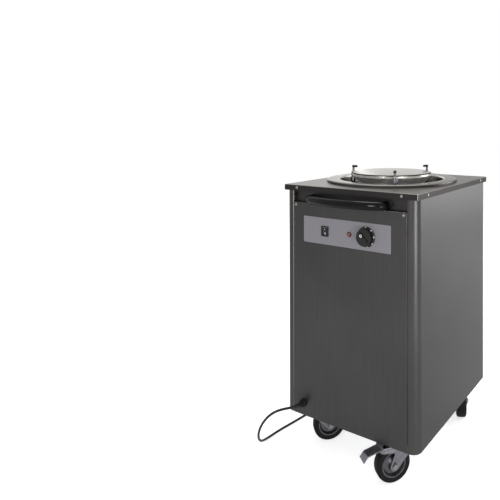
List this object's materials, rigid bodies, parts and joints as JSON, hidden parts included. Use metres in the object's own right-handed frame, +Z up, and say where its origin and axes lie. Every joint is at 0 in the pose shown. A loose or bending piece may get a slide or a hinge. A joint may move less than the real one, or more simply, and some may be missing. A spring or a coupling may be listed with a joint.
{
  "type": "plate dispenser cart",
  "caption": "Heated plate dispenser cart: steel cabinet on swivel casters with a sprung round plate lift in a well, bowed push handle, switch, pilot lamp and thermostat knob.",
  "frame": {"origin": "centre of the bounding box's bottom, on the floor, measured without the mains lead", "axes": "+Z up, front with the push handle towards -Y, +X to the right seen from the front"},
  "size_m": [0.5255, 0.7383, 0.844],
  "materials": {
    "stainless_panel": "vertical brushed stainless steel",
    "stainless_top": "brushed stainless steel",
    "stainless_well": "polished stainless steel",
    "stainless_table": "bright satin stainless steel",
    "band_steel": "dark satin steel",
    "galvanised": "bare galvanised sheet",
    "screw_steel": "bright plated",
    "zinc_plated": "bright zinc plate",
    "heater_sheath": "oxidised steel tube",
    "spring_steel": "bright spring wire",
    "grip_black": "gloss black",
    "plastic_black": "satin black",
    "fascia_grey": "matt lilac grey",
    "lens_orange": "translucent orange",
    "bush_white": "natural white",
    "tyre_black": "black rubber",
    "lead_black": "black rubber",
    "guide_steel": "dark drawn steel",
    "strap_grey": "woven hook strap"
  },
  "bodies": {
    "cabinet": {"side_panel_right": "stainless_panel", "side_panel_left": "stainless_panel", "front_panel": "stainless_panel", "rear_panel": "stainless_panel", "handle_band": "band_steel", "base_pan": "galvanised", "worktop": "stainless_top", "cabinet_screws": "screw_steel", "well_ring": "stainless_well", "well_tube": "stainless_well", "well_floor": "stainless_well", "well_supports": "galvanised", "heater_element": "heater_sheath", "heater_clips": "galvanised", "spring_seat": "stainless_well", "lift_spring": "spring_steel", "guide_rods": "guide_steel", "guide_caps": "plastic_black", "push_handle": "grip_black", "handle_feet": "plastic_black", "handle_bolts": "screw_steel", "control_plate": "fascia_grey", "switch_housing": "plastic_black", "pilot_bezel": "plastic_black", "pilot_lens": "lens_orange", "thermostat": "galvanised", "caster_bolts": "zinc_plated", "cable_gland": "plastic_black", "strain_relief": "lead_black", "cord": "lead_black", "cord_coil": "lead_black", "cord_tie": "strap_grey", "plug": "plastic_black", "caster_plate_front_right": "zinc_plated", "caster_plate_front_left": "zinc_plated", "caster_plate_rear_right": "zinc_plated", "caster_plate_rear_left": "zinc_plated"},
    "lift": {"carrier_plate": "stainless_table", "carrier_spider": "guide_steel", "guide_bushes": "bush_white"},
    "knob": {"knob": "plastic_black"},
    "rocker": {"rocker": "plastic_black"},
    "swivel_front_right": {"fork_front_right": "zinc_plated", "axle_front_right": "screw_steel"},
    "wheel_front_right": {"hub_front_right": "zinc_plated", "tyre_front_right": "tyre_black"},
    "swivel_front_left": {"fork_front_left": "zinc_plated", "axle_front_left": "screw_steel"},
    "wheel_front_left": {"hub_front_left": "zinc_plated", "tyre_front_left": "tyre_black"},
    "swivel_rear_right": {"fork_rear_right": "zinc_plated", "axle_rear_right": "screw_steel"},
    "wheel_rear_right": {"hub_rear_right": "zinc_plated", "tyre_rear_right": "tyre_black"},
    "swivel_rear_left": {"fork_rear_left": "zinc_plated", "axle_rear_left": "screw_steel"},
    "wheel_rear_left": {"hub_rear_left": "zinc_plated", "tyre_rear_left": "tyre_black"},
    "pedal_front_right": {"brake_pedal_front_right": "zinc_plated"},
    "pedal_front_left": {"brake_pedal_front_left": "zinc_plated"}
  },
  "joints": [
    {"name": "lift_slide", "type": "slide", "parent": "cabinet", "child": "lift", "axis": [0, 0, 1], "range_m": [-0.45, 0], "stiffness_N_per_m": 296, "springref_m": 0.1, "deforming": ["lift_spring"]},
    {"name": "knob_turn", "type": "hinge", "parent": "cabinet", "child": "knob", "pos_m": [0.069, -0.23461, 0.671], "axis": [0, 1, 0], "range_deg": [0, 300]},
    {"name": "rocker_rock", "type": "hinge", "parent": "cabinet", "child": "rocker", "pos_m": [-0.075, -0.23061, 0.671], "axis": [-1, 0, 0], "range_deg": [0, 18]},
    {"name": "swivel_turn_front_right", "type": "hinge", "parent": "cabinet", "child": "swivel_front_right", "pos_m": [0.157, -0.17211, 0.115], "axis": [0, 0, 1], "continuous": true},
    {"name": "wheel_spin_front_right", "type": "hinge", "parent": "swivel_front_right", "child": "wheel_front_right", "pos_m": [0.13349, -0.20447, 0.05], "axis": [0.809, -0.5878, 0], "continuous": true},
    {"name": "brake_press_front_right", "type": "hinge", "parent": "swivel_front_right", "child": "pedal_front_right", "pos_m": [0.11468, -0.23036, 0.098], "axis": [0.809, -0.5878, 0], "range_deg": [0, 13]},
    {"name": "swivel_turn_front_left", "type": "hinge", "parent": "cabinet", "child": "swivel_front_left", "pos_m": [-0.157, -0.17211, 0.115], "axis": [0, 0, 1], "continuous": true},
    {"name": "wheel_spin_front_left", "type": "hinge", "parent": "swivel_front_left", "child": "wheel_front_left", "pos_m": [-0.13129, -0.14147, 0.05], "axis": [-0.766, 0.6428, 0], "continuous": true},
    {"name": "brake_press_front_left", "type": "hinge", "parent": "swivel_front_left", "child": "pedal_front_left", "pos_m": [-0.11072, -0.11696, 0.098], "axis": [-0.766, 0.6428, 0], "range_deg": [0, 13]},
    {"name": "swivel_turn_rear_right", "type": "hinge", "parent": "cabinet", "child": "swivel_rear_right", "pos_m": [0.157, 0.22189, 0.115], "axis": [0, 0, 1], "continuous": true},
    {"name": "wheel_spin_rear_right", "type": "hinge", "parent": "swivel_rear_right", "child": "wheel_rear_right", "pos_m": [0.17516, 0.18625, 0.05], "axis": [0.891, 0.454, 0], "continuous": true},
    {"name": "swivel_turn_rear_left", "type": "hinge", "parent": "cabinet", "child": "swivel_rear_left", "pos_m": [-0.157, 0.22189, 0.115], "axis": [0, 0, 1], "continuous": true},
    {"name": "wheel_spin_rear_left", "type": "hinge", "parent": "swivel_rear_left", "child": "wheel_rear_left", "pos_m": [-0.17068, 0.1843, 0.05], "axis": [0.9397, -0.342, 0], "continuous": true}
  ]
}
